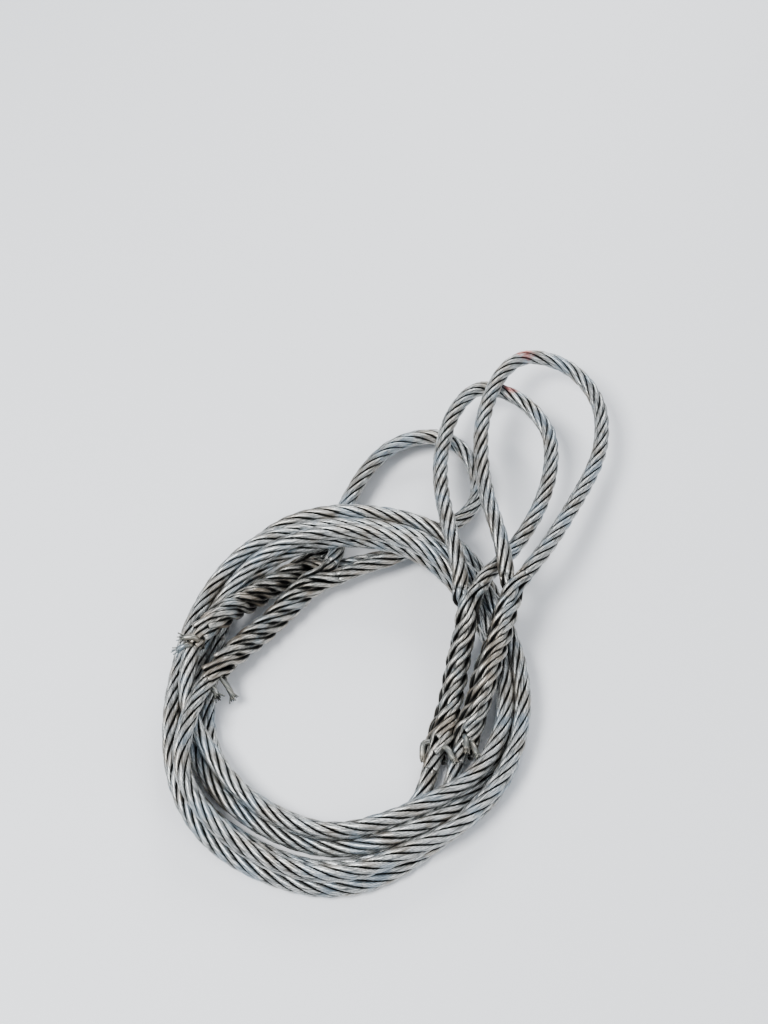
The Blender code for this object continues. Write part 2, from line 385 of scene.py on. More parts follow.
@dataclass
class StrandMesh:
    """Collects strands as swept tubes with a ridge for each outer wire."""

    vertices: list[np.ndarray] = field(default_factory=list)
    faces: list[np.ndarray] = field(default_factory=list)
    caps: list[list[int]] = field(default_factory=list)
    groove: list[np.ndarray] = field(default_factory=list)
    valley: list[np.ndarray] = field(default_factory=list)
    soil: list[np.ndarray] = field(default_factory=list)
    lay: list[np.ndarray] = field(default_factory=list)
    count: int = 0

    def add_strand(
        self,
        centres: Points,
        axis: Points,
        radius: np.ndarray | float,
        outer: np.ndarray | float,
        seed: int,
        wires: int = ROPE.wires,
        depth: float = ROPE.wire_depth,
        soil: np.ndarray | float = 0.0,
    ) -> None:
        """Sweep one strand.

        Args:
            centres: The strand's centres along its length.
            axis: The rope's axis beside each of them, which the grooves face.
            radius: The strand's radius, or one for each centre.
            outer: The rope's outer radius there, for the depth of the grooves.
            seed: Shifts the wires round the strand, so that no two look alike.
            wires: How many outer wires show.
            depth: How deep the grooves between wires are.
            soil: How greasy the strand is, from 0 to 1, or one for each centre.
        """
        count, sides = len(centres), 2 * wires
        tangents = unit(np.gradient(centres, axis=0))
        outward = centres - axis
        outward = unit(outward - tangents * np.sum(outward * tangents, axis=1)[:, None])
        aside = np.cross(tangents, outward)
        steps = np.linalg.norm(np.diff(centres, axis=0), axis=1)
        along = np.concatenate([[0.0], np.cumsum(steps)])
        twist = -2 * math.pi * along / ROPE.wire_lay + seed * 1.7
        turn = twist[:, None] + 2 * math.pi * np.arange(sides)[None, :] / sides
        valley = (np.arange(sides) % 2).astype(float)
        reach = np.broadcast_to(radius, (count,))[:, None] - depth * valley[None, :]
        ring = (
            centres[:, None, :]
            + (reach * np.cos(turn))[:, :, None] * outward[:, None, :]
            + (reach * np.sin(turn))[:, :, None] * aside[:, None, :]
        )
        spread = np.linalg.norm(ring - axis[:, None, :], axis=2)
        limit = np.broadcast_to(outer, (count,))[:, None]
        self.vertices.append(ring.reshape(-1, 3))
        # The finish paints shade, with greasy dirt, from how deep each point lies in the grooves,
        # and it paints shade in the wires' valleys.
        self.groove.append(np.clip((limit - spread) / ROPE.groove_depth, 0.0, 1.0).ravel())
        self.valley.append(np.tile(valley, count))
        self.soil.append(np.repeat(np.broadcast_to(soil, (count,)), sides))
        base = self.count
        rows = base + np.arange(count - 1)[:, None] * sides
        first = rows + np.arange(sides)[None, :]
        after = rows + (np.arange(sides)[None, :] + 1) % sides
        quads = np.stack([first, after, after + sides, first + sides], axis=2).reshape(-1, 4)
        self.faces.append(quads)
        wire = np.arange(sides)[None, :] / 2 + seed * 13
        flat = np.zeros((count - 1, sides, 4))
        u = np.stack([wire, wire + 0.5, wire + 0.5, wire], axis=2) + flat
        low, high = along[:-1, None, None] * 100, along[1:, None, None] * 100
        v = np.concatenate([low, low, high, high], axis=2) + flat
        self.lay.append(np.stack([u, v], axis=3).reshape(-1, 2))
        self.caps.append(list(range(base + sides - 1, base - 1, -1)))
        last = base + (count - 1) * sides
        self.caps.append(list(range(last, last + sides)))
        self.count += count * sides

    def make(self, name: str) -> bpy.types.Object:
        """Make the mesh object.

        Args:
            name: The piece's name.

        Returns:
            The object, at the origin, linked to the scene.
        """
        quads = np.vstack(self.faces)
        mesh = bpy.data.meshes.new(name)
        mesh.vertices.add(self.count)
        mesh.vertices.foreach_set("co", np.vstack(self.vertices).astype(np.float32).ravel())
        sizes = [4] * len(quads) + [len(cap) for cap in self.caps]
        corners = np.concatenate([quads.ravel(), np.concatenate(self.caps)])
        mesh.loops.add(len(corners))
        mesh.loops.foreach_set("vertex_index", corners.astype(np.int32))
        mesh.polygons.add(len(sizes))
        starts = np.concatenate([[0], np.cumsum(sizes)[:-1]]).astype(np.int32)
        mesh.polygons.foreach_set("loop_start", starts)
        mesh.update(calc_edges=True)
        mesh.polygons.foreach_set("use_smooth", np.arange(len(sizes)) < len(quads))
        layer = mesh.uv_layers.new(name="lay")
        lay = np.vstack([*self.lay, np.zeros((len(corners) - 4 * len(quads), 2))])
        layer.data.foreach_set("uv", lay.astype(np.float32).ravel())
        layers = {"groove": self.groove, "valley": self.valley, "soil": self.soil}
        for label, values in layers.items():
            attribute = mesh.attributes.new(label, "FLOAT", "POINT")
            attribute.data.foreach_set("value", np.concatenate(values).astype(np.float32))
        mesh.validate()
        obj = bpy.data.objects.new(name, mesh)
        bpy.context.scene.collection.objects.link(obj)
        return obj


@dataclass
class LaidRope:
    """A length of six strand rope along a centreline, and its first strand's first angle."""

    line: Centreline
    start_angle: float = 0.0

    def angles(self, strand: int) -> np.ndarray:
        """Return a strand's angle round the rope at each point of the line."""
        turns = self.line.lengths / ROPE.lay_length + strand / ROPE.strands
        return self.start_angle + 2 * math.pi * turns

    def centres(self, strand: int) -> Points:
        """Return a strand's centres."""
        return self.line.around(ROPE.ring_radius, self.angles(strand))

    def beyond(self, strand: int, distance: np.ndarray, at_start: bool) -> tuple[Points, Points]:
        """Return a strand carried on past one end, where the rope would run on straight.

        Args:
            strand: The strand's number.
            distance: How far past the end each point is.
            at_start: Whether it goes on past the line's start, not past its end.

        Returns:
            The strand's centres and the rope's axis beside them.
        """
        at, sign = (0, -1.0) if at_start else (-1, 1.0)
        axis = self.line.points[at] + sign * distance[:, None] * self.line.tangents[at]
        angle = self.angles(strand)[at] + sign * 2 * math.pi * distance / ROPE.lay_length
        spread = np.cos(angle)[:, None] * self.line.across[at]
        spread = spread + np.sin(angle)[:, None] * self.line.upward[at]
        return axis + ROPE.ring_radius * spread, axis

    def build(self, name: str, seed: int, soil: float, fade: float) -> bpy.types.Object:
        """Make the rope's mesh.

        Args:
            name: The piece's name.
            seed: Shifts the wires of each strand.
            soil: How greasy the rope's two ends are, next to the splices.
            fade: The length over which the greasy soiling thins out.

        Returns:
            The rope's object.
        """
        mesh = StrandMesh()
        outer = ROPE.ring_radius + ROPE.strand_radius
        ends = np.minimum(self.line.lengths, self.line.length - self.line.lengths)
        greasy = soil * (1 - smoothstep(0.0, fade, ends))
        for strand in range(ROPE.strands):
            mesh.add_strand(
                self.centres(strand), self.line.points, ROPE.strand_radius, outer, seed + strand,
                soil=greasy,
            )
        return mesh.make(name)


# ---------------------------------------------------------------- the coil


@dataclass
class Winding:
    """Both slings' turns, wound from their stations and settled on each other.

    Attributes:
        relaxing: How often a wound route is smoothed before it settles.
        last_rounds: How many of the last rounds only push, so that nothing overlaps.
        beside: How many points along one rope don't push each other.
        gain, spreading, recall: How much of a push is taken up in a round, passed on to the
            points beside it, and kept in the next round.
        sag: How far the turns sink in each round.
        easing: How many points past a held end move less than the rest.
        obstacles: The eyes and splices, each with its radius.
    """

    step: float = 6 * MM
    station_step: float = 2.0
    relaxing: int = 12
    rounds: int = 260
    last_rounds: int = 30
    floor: float = 6.05 * MM
    beside: int = 7
    gain: float = 1.2
    spreading: float = 0.35
    recall: float = 0.995
    sag: float = 0.005 * MM
    easing: int = 8
    obstacles: list[tuple[Points, float]] = field(default_factory=list)

    def route(self, stations: Route, head: Route, tail: Route) -> tuple[Points, int, int]:
        """Return one sling's route through the coil, before it settles.

        Args:
            stations: The turns' stations, by angle, distance and height.
            head: The lead into the coil.
            tail: The other lead, from its splice towards the coil.

        Returns:
            The route's points, and how many are held at its start and at its end.
        """
        table = np.array(stations, float)
        angle = np.arange(table[0, 0], table[-1, 0] - 0.01, -self.station_step)
        reach, height = (np.interp(-angle, -table[:, 0], table[:, k]) for k in (1, 2))
        way = np.radians(angle)
        turns = np.stack([reach * np.cos(way), reach * np.sin(way), height], axis=1)
        points = np.vstack([in_frame(head), turns * MM + COIL_MIDDLE, in_frame(tail[::-1])])
        points = relaxed(resampled(points, self.step), self.relaxing)
        held = [len(smooth_curve(in_frame(lead), self.step)) for lead in (head, tail)]
        return points, held[0], held[1]

    def settle(self, routes: list[tuple[Points, int, int]]) -> list[Points]:
        """Push the turns apart until no two lie in each other.

        Args:
            routes: Each sling's route and its held points.

        Returns:
            The settled routes.
        """
        start = np.vstack([points for points, _, _ in routes])
        sling = np.concatenate([np.full(len(r[0]), k) for k, r in enumerate(routes)])
        order = np.concatenate([np.arange(len(r[0])) for r in routes])
        free = np.concatenate([self.freedom(*r) for r in routes])[:, None]
        fixed = np.vstack([points for points, _ in self.obstacles])
        fixed_reach = np.concatenate([np.full(len(p), r) for p, r in self.obstacles])
        fixed_reach = ROPE.diameter / 2 + fixed_reach
        near = np.abs(order[:, None] - order[None, :]) < self.beside
        near &= sling[:, None] == sling[None, :]
        place = start.copy()
        for number in range(self.rounds):
            push, hits = contact(place[:, None] - place[None], ROPE.diameter, near)
            fixed_push, fixed_hits = contact(place[:, None] - fixed[None], fixed_reach, False)
            push = push / 2 + fixed_push
            place += free * push / np.maximum(hits + fixed_hits, 1)[:, None] * self.gain
            shift = place - start
            if number < self.rounds - self.last_rounds:
                shift = self.smoothed(shift, sling) * self.recall
                shift[:, 2] -= self.sag * free[:, 0]
            place = start + shift * np.minimum(free * 4, 1.0)
            place[:, 2] = np.maximum(place[:, 2], self.floor)
        LOG.info("coil settled, largest move %.1f mm", np.abs(place - start).max() / MM)
        return [place[sling == k] for k in range(len(routes))]

    def freedom(self, points: Points, held_first: int, held_last: int) -> np.ndarray:
        """Return how freely each point of a route may move, 0 at its held ends.

        Args:
            points: The route's points.
            held_first: How many are held at its start.
            held_last: How many are held at its end.

        Returns:
            A share from 0 to 1 for each point.
        """
        index = np.arange(len(points))
        rise = smoothstep(held_first - 1, held_first + self.easing, index)
        return rise * smoothstep(held_last - 1, held_last + self.easing, index[::-1])

    def smoothed(self, shift: np.ndarray, sling: np.ndarray) -> np.ndarray:
        """Return the moves spread along each sling, as a stiff rope spreads them.

        Args:
            shift: How far each point has moved.
            sling: Which sling each point is on.

        Returns:
            The moves, spread.
        """
        shift = shift.copy()
        inside = (sling[1:-1] == sling[:-2]) & (sling[1:-1] == sling[2:])
        mean = (shift[:-2] + shift[2:]) / 2
        shift[1:-1][inside] += self.spreading * (mean - shift[1:-1])[inside]
        return shift


# ---------------------------------------------------------------- splices


@dataclass
class Splice:
    """Six pairs of strands round one axis: each of the rope's own with a tucked one.

    Attributes:
        stagger: How far a strand swings in and out as its pair change places.
        tuck_length: The length of one swing.
        throat: The length over which the eye's two limbs close into the splice.
        packing: How near two strands' middles may lie, in strand radii.
        gain, spreading, recall: As in the coil's winding.
        swell: How much thicker and thinner the splice gets along its length.
        last_tuck: The tucked strands' distance from the axis where they end.
        first_cut: How far before the splice's end the longest tucked strand is cut, in
            millimetres.
        cut_step: How much earlier each of the others is cut.
    """

    end: End
    seed: int
    lay_length: float = 82 * MM
    ring_radius: float = 5.9 * MM
    strand_radius: float = 2.1 * MM
    stagger: float = 1.75 * MM
    tuck_length: float = 37 * MM
    throat: float = 22 * MM
    step: float = 2.2 * MM
    rounds: int = 60
    packing: float = 1.72
    gain: float = 1.6
    recall: float = 0.99
    spreading: float = 0.2
    swell: float = 0.05
    swell_length: float = 46 * MM
    last_tuck: float = 6.9 * MM
    first_cut: float = 3.0
    cut_step: float = 3.6
    diameter: float = 17 * MM
    line: Centreline = field(init=False)

    def __post_init__(self) -> None:
        """Lay the axis from the throat to the last tuck."""
        self.line = Centreline(smooth_curve(in_frame(SPLICES[self.end]), self.step))

    @property
    def share(self) -> np.ndarray:
        """How far along the splice each point of the axis is, from 0 to 1."""
        return self.line.lengths / self.line.length

    def slot_angle(self, slot: int, last_angle: float) -> np.ndarray:
        """Return the angle of one of the twelve slots along the splice.

        Args:
            slot: The slot's number, even for the rope's own strands.
            last_angle: The angle of slot 0 at the far end, where the rope goes on.

        Returns:
            The angle at each point of the axis.
        """
        to_rope = smoothstep(0.8, 1.0, self.share)
        lay = self.lay_length + (ROPE.lay_length - self.lay_length) * to_rope
        steps = np.diff(self.line.lengths) / ((lay[1:] + lay[:-1]) / 2)
        turned = np.concatenate([[0.0], np.cumsum(steps)])
        return last_angle + 2 * math.pi * (turned - turned[-1] + slot / 12)

    def radius(self, slot: int) -> np.ndarray:
        """Return the distance of a slot's strand from the axis, as its pair change places.

        Args:
            slot: The slot's number.

        Returns:
            The distance at each point of the axis.
        """
        turn = 2 * math.pi * self.line.lengths / self.tuck_length + (slot // 2) * 2.1 + self.seed
        swing = np.tanh(1.7 * (np.cos(turn) * (-1.0 if slot % 2 else 1.0) + 0.1)) * self.stagger
        swell = np.sin(2 * math.pi * self.line.lengths / self.swell_length + self.seed * 1.3)
        place = self.ring_radius * (1 + self.swell * swell) + swing
        join = smoothstep(0.76, 0.95, self.share)
        return place * (1 - join) + join * (self.last_tuck if slot % 2 else ROPE.ring_radius)

    def strand_paths(self, eye: LaidRope, last_angle: float) -> tuple[Points, Points]:
        """Lay the twelve strands from the eye's two limbs into their slots.

        Args:
            eye: The eye's rope, whose two limbs run into the splice.
            last_angle: The angle of the rope's first strand where the splice ends.

        Returns:
            The strands' centres and the axes beside them, by slot and by point.
        """
        lengths = self.line.lengths
        blend = smoothstep(0.0, self.throat, lengths)[:, None]
        middle = int(np.searchsorted(lengths, self.throat / 2))
        strands, axes = np.zeros((2, 12, len(lengths), 3))
        for family in (0, 1):
            limb = [eye.beyond(k, lengths, family == 1) for k in range(6)]
            slots = [2 * k + family for k in range(6)]
            rings = [
                self.line.around(self.radius(s), self.slot_angle(s, last_angle)) for s in slots
            ]
            apart = [
                [np.linalg.norm(limb[k][0][middle] - ring[middle]) for ring in rings]
                for k in range(6)
            ]
            shift = min(range(6), key=lambda turn: sum(apart[k][(k + turn) % 6] for k in range(6)))
            for k in range(6):
                number = (k + shift) % 6
                strands[slots[number]] = limb[k][0] * (1 - blend) + rings[number] * blend
                axes[slots[number]] = limb[k][1] * (1 - blend) + self.line.points * blend
        return strands, axes

    def settled(self, strands: Points) -> Points:
        """Push the twelve strands apart wherever two lie in each other.

        Args:
            strands: The centres, by strand and by point of the axis.

        Returns:
            The centres, settled.
        """
        place, start = strands.copy(), strands.copy()
        count = place.shape[1]
        tucked = smoothstep(0.0, 8 * MM, self.line.lengths)
        own = tucked * smoothstep(0.0, 14 * MM, self.line.length - self.line.lengths)
        free = np.tile(np.stack([own, tucked]), (6, 1))[:, :, None]
        same = np.eye(len(place), dtype=bool)[:, :, None]
        for _ in range(self.rounds):
            push = np.zeros_like(place)
            hits = np.ones(place.shape[:2])
            for offset in range(-2, 3):
                low, high = max(0, offset), count + min(0, offset)
                gap = place[:, None, low:high] - place[None, :, low - offset : high - offset]
                pushed, touched = contact(gap, self.packing * self.strand_radius, same)
                push[:, low:high] += pushed / 2
                hits[:, low:high] += touched
            place += free * push / hits[:, :, None] * self.gain
            shift = (place - start) * self.recall
            mean = (shift[:, :-2] + shift[:, 2:]) / 2
            shift[:, 1:-1] += self.spreading * (mean - shift[:, 1:-1])
            place = start + shift * np.minimum(free * 3, 1.0)
            place[:, :, 2] = np.maximum(place[:, :, 2], self.strand_radius)
        return place

    def build(self, eye: LaidRope, last_angle: float) -> bpy.types.Object:
        """Make the splice's mesh.

        Args:
            eye: The eye's rope, whose two limbs run into the splice.
            last_angle: The angle of the rope's first strand where the splice ends.

        Returns:
            The splice's object.
        """
        lengths = self.line.lengths
        strands, axes = self.strand_paths(eye, last_angle)
        places = self.settled(strands)
        blend = smoothstep(0.0, self.throat, lengths)
        outermost = np.linalg.norm(places - self.line.points[None], axis=2).max(axis=0)
        outermost = ROPE.ring_radius * (1 - blend) + outermost * blend
        radius = self.strand_radius + (ROPE.strand_radius - self.strand_radius) * (1 - blend)
        soil = 0.5 + 0.5 * smoothstep(0.0, 0.12, self.share)
        soil = soil - 0.4 * smoothstep(0.88, 1.0, self.share)
        # Painted shade: strands that lie under the outermost ones count as lying deeper in a
        # groove, so the finish darkens their tops too, as it does the greasy grooves.
        sunk_strand_shade = 0.2 * (1 - smoothstep(0.72, 0.85, self.share))
        mesh = StrandMesh()
        tuck_order = (2, 5, 0, 4, 1, 3)
        for slot, (centres, axis) in enumerate(zip(places, axes)):
            own = np.linalg.norm(centres - axis, axis=1)
            outer = own + radius + sunk_strand_shade * np.clip(outermost - own, 0.0, None)
            last = len(centres)
            if slot % 2:
                short = self.first_cut + self.cut_step * tuck_order[slot // 2]
                cut = self.line.length - short * MM
                last = int(np.searchsorted(lengths, cut, side="right"))
                lift = smoothstep(cut - 9 * MM, cut, lengths)[:, None]
                centres = centres + unit(centres - axis) * lift * 1.4 * MM
            mesh.add_strand(
                centres[:last], axis[:last], radius[:last], outer[:last], self.seed + slot,
                soil=soil[:last],
            )
        return mesh.make(f"{self.end.value}_splice_strands")


@dataclass
class CutTail:
    """The tail of a tucked strand, cut off a little way out, its wires spreading."""

    start: Place
    reach: Place
    splice_line: Points
    seed: int
    fray: Fray = Fray.SPLAYED
    strand_radius: float = 2.15 * MM
    wires: int = 13
    wire_turn: float = 2.39996
    wire_radius: float = 0.5 * MM
    wire_ring: float = 1.8 * MM
    wire_length: float = 2.4 * MM
    unevenness: float = 1.3 * MM
    rooted: float = 1.5 * MM

    def build(self, name: str) -> bpy.types.Object:
        """Make the tail: a short curved strand and the loose wires at its end.

        Args:
            name: The piece's name.

        Returns:
            The tail's object.
        """
        start = in_frame([self.start])[0]
        reach = np.array(self.reach, float) * MM
        nearest = self.splice_line[np.argmin(np.linalg.norm(self.splice_line - start, axis=1))]
        root = nearest + (start - nearest) * 0.45 - reach * 0.35
        line = smooth_curve(np.array([root, start, start + reach * 0.8]), 1.5 * MM)
        mesh = StrandMesh()
        # Painted shade: the axis is put under the tail, so its underside counts as deep in a
        # groove and the finish paints it dark.
        underside_shade_axis = line + np.array([0.0, 0.0, -4.0]) * MM
        mesh.add_strand(line, underside_shade_axis, self.strand_radius, 6.1 * MM, self.seed)
        heading = unit(line[-1] - line[-2])
        side = unit(np.cross(heading, [0.3, 0.2, 1.0]))
        other = np.cross(heading, side)
        for k in range(self.wires):
            out = math.cos(k * self.wire_turn) * side + math.sin(k * self.wire_turn) * other
            ring = self.wire_ring * math.sqrt((k + 0.5) / self.wires)
            long = self.wire_length + self.unevenness * math.sin(k * 2.7 + self.seed)
            base = line[-1] - heading * self.rooted + out * ring
            aside = out * self.fray.value * long * (0.4 + ring / MM)
            tip = base + heading * (long + self.rooted) + aside
            wire = smooth_curve(np.array([base, (base + tip) / 2 - out * 0.1 * MM, tip]), 1.2 * MM)
            # Painted shade: each wire's axis lies inward, so its inner side counts as deep in a
            # groove and is painted darker.
            inside = wire - out * 1.0 * MM
            mesh.add_strand(wire, inside, self.wire_radius, 3.0 * MM, k, wires=3, depth=0.05 * MM)
        return mesh.make(name)


# ---------------------------------------------------------------- finishes


@dataclass(frozen=True)
class FinishNodes:
    """The nodes of one finish, added one at a time."""

    tree: bpy.types.NodeTree

    def add(
        self, kind: str, result: str | int, feeds: dict[str | int, Feed], **settings: str | Feed
    ) -> Socket:
        """Add one node.

        Args:
            kind: The node's type.
            result: The output wanted, by name or number.
            feeds: What goes into its inputs, by name or number: a socket or a value.
            **settings: The node's own settings.

        Returns:
            The output.
        """
        node = self.tree.nodes.new(kind)
        for setting, value in settings.items():
            setattr(node, setting, value)
        for number, value in feeds.items():
            self.feed(node.inputs[number], value)
        return node.outputs[result]

    def feed(self, socket: Socket, value: Feed) -> None:
        """Feed an input.

        Args:
            socket: The input.
            value: A socket to link to it, or the value that it is set to.
        """
        if isinstance(value, bpy.types.NodeSocket):
            self.tree.links.new(value, socket)
        elif socket.type == "RGBA":
            socket.default_value = (*value, 1.0)
        else:
            socket.default_value = value

    def attribute(self, name: str) -> Socket:
        """Return a mesh attribute's value."""
        return self.add("ShaderNodeAttribute", "Fac", {}, attribute_name=name)

    def noise(self, place: Socket, scale: float, detail: float) -> Socket:
        """Return a noise pattern's value."""
        feeds = {"Vector": place, "Scale": scale, "Detail": detail}
        return self.add("ShaderNodeTexNoise", "Fac", feeds)

    def ramp(self, value: Socket, low: float, high: float, top: float = 1.0) -> Socket:
        """Return a value mapped from low and high to 0 and top, and held there."""
        feeds = {"Value": value, "From Min": low, "From Max": high, "To Max": top}
        return self.add("ShaderNodeMapRange", "Result", feeds, interpolation_type="SMOOTHSTEP")

    def math(self, operation: str, *values: Feed) -> Socket:
        """Return the result of a sum or a product."""
        return self.add("ShaderNodeMath", "Value", dict(enumerate(values)), operation=operation)

    def mix(self, share: Feed, first: Feed, second: Feed, blend: str = "MIX") -> Socket:
        """Return a mix of two colours, whose sockets on the node are 6 and 7, and 2 outside."""
        feeds = {0: share, 6: first, 7: second}
        return self.add("ShaderNodeMix", 2, feeds, data_type="RGBA", blend_type=blend)


@dataclass(frozen=True)
class SteelFinish:
    """Weathered galvanised wire, with painted shade and greasy dirt darkening the grooves of the
    strands, and painted shade in the valleys of the wires.
    """

    name: str
    light: Colour = (0.90, 0.92, 0.90)
    dark: Colour = (0.17, 0.18, 0.18)
    warm: Colour = (0.42, 0.34, 0.25)
    cool: Colour = (0.34, 0.45, 0.55)
    # Near black: painted shade in the grooves of the strands, which also stands for greasy dirt
    # there. The two shares after it set the groove depth over which it comes in.
    groove_shade_and_grease: Colour = (0.011, 0.011, 0.010)
    soiled: Colour = (0.90, 0.85, 0.79)
    warm_share: float = 0.45
    shade_and_grease_from: float = 0.13
    shade_and_grease_to: float = 0.42
    roughness: float = 0.30
    paint_spot: Place | None = None
    paint: Colour = (0.62, 0.10, 0.06)

    def material(self) -> bpy.types.Material:
        """Build the finish as a node material.

        Returns:
            The material.
        """
        material = bpy.data.materials.new(self.name)
        material.use_nodes = True
        nodes = FinishNodes(material.node_tree)
        place = nodes.add("ShaderNodeTexCoord", "Object", {})
        lay = nodes.add("ShaderNodeUVMap", "UV", {}, uv_map="lay")
        along = nodes.add("ShaderNodeMapping", "Vector", {"Vector": lay, "Scale": (1.1, 0.9, 1.0)})
        streaks = nodes.noise(along, 1.0, 3.0)
        flecks = nodes.noise(place, 900.0, 2.0)
        patches = nodes.noise(place, 55.0, 3.0)
        soil = nodes.attribute("soil")
        colour = self.zinc(nodes, streaks, flecks, patches)
        tint = nodes.mix(soil, (1.0, 1.0, 1.0), self.soiled)
        colour = nodes.mix(1.0, colour, tint, "MULTIPLY")
        if self.paint_spot is not None:
            colour = nodes.mix(self.smear(nodes, place), colour, self.paint)
        # Painted shade in the valleys of the wires: the valley points are darkened towards a
        # quarter of the dark colour.
        wire_gap_shade = nodes.ramp(nodes.attribute("valley"), 0.35, 1.0, 0.85)
        colour = nodes.mix(wire_gap_shade, colour, tuple(0.25 * c for c in self.dark))
        # Painted shade, with greasy dirt: the deeper a point lies in the grooves, the nearer to
        # black it is painted. The patches vary this at random, and the greasy soiling adds to it.
        depth = nodes.math("MULTIPLY_ADD", patches, 0.30, -0.15)
        depth = nodes.math("ADD", nodes.attribute("groove"), depth)
        depth = nodes.math("MULTIPLY_ADD", soil, 0.055, depth)
        shade_and_grease_mask = nodes.ramp(depth, self.shade_and_grease_from, self.shade_and_grease_to)
        shader = material.node_tree.nodes["Principled BSDF"]
        nodes.feed(shader.inputs["Base Color"], nodes.mix(shade_and_grease_mask, colour, self.groove_shade_and_grease))
        nodes.feed(shader.inputs["Metallic"], 0.82)
        uneven = nodes.ramp(streaks, 0.2, 0.8, 0.22)
        nodes.feed(shader.inputs["Roughness"], nodes.math("ADD", uneven, self.roughness))
        relief = {"Strength": 0.35, "Distance": 0.12 * MM, "Height": flecks}
        nodes.feed(shader.inputs["Normal"], nodes.add("ShaderNodeBump", "Normal", relief))
        return material

    def zinc(self, nodes: FinishNodes, streaks: Socket, flecks: Socket, patches: Socket) -> Socket:
        """Colour the bare wires.

        Args:
            nodes: The finish's nodes.
            streaks: A pattern along each wire.
            flecks: A fine pattern of dull spots.
            patches: A coarse pattern of warm and cool patches.

        Returns:
            The colour.
        """
        colour = nodes.mix(nodes.ramp(streaks, 0.36, 0.60), self.dark, self.light)
        colour = nodes.mix(nodes.ramp(flecks, 0.52, 0.64, 0.65), colour, self.dark)
        colour = nodes.mix(nodes.ramp(patches, 0.50, 0.64, self.warm_share), colour, self.warm)
        return nodes.mix(nodes.ramp(patches, 0.47, 0.36, 0.5), colour, self.cool)

    def smear(self, nodes: FinishNodes, place: Socket) -> Socket:
        """Mask an old smear of marking paint on an eye's crown.

        Args:
            nodes: The finish's nodes.
            place: The place on the piece.

        Returns:
            The mask.
        """
        feeds = {0: place, 1: self.paint_spot}
        away = nodes.add("ShaderNodeVectorMath", "Value", feeds, operation="DISTANCE")
        broken = nodes.noise(place, 260.0, 3.0)
        wide = nodes.math("MULTIPLY_ADD", broken, 0.012, away)
        return nodes.ramp(wide, 0.0145, 0.0105, 0.6)


# ---------------------------------------------------------------- the two slings


@dataclass(frozen=True)
class EyeFacts:
    """What an eye rides on, and the start and end of a bend, which only keep the eye unattached;
    nothing bends it.
    """

    body: str
    bend_start: Place | None = None
    bend_end: Place | None = None
    paint_spot: Place | None = None


EYE_FACTS: dict[End, EyeFacts] = {
    End.FRONT: EyeFacts("front_eye", (122, 80, 46), (122, 108, 46), (143, 293, 43)),
    End.MIDDLE: EyeFacts("middle_eye", (88, 70, 44), (88, 100, 44), (130, 263, 38)),
    End.BACK: EyeFacts("slings"),
    End.TUCKED: EyeFacts("slings"),
}


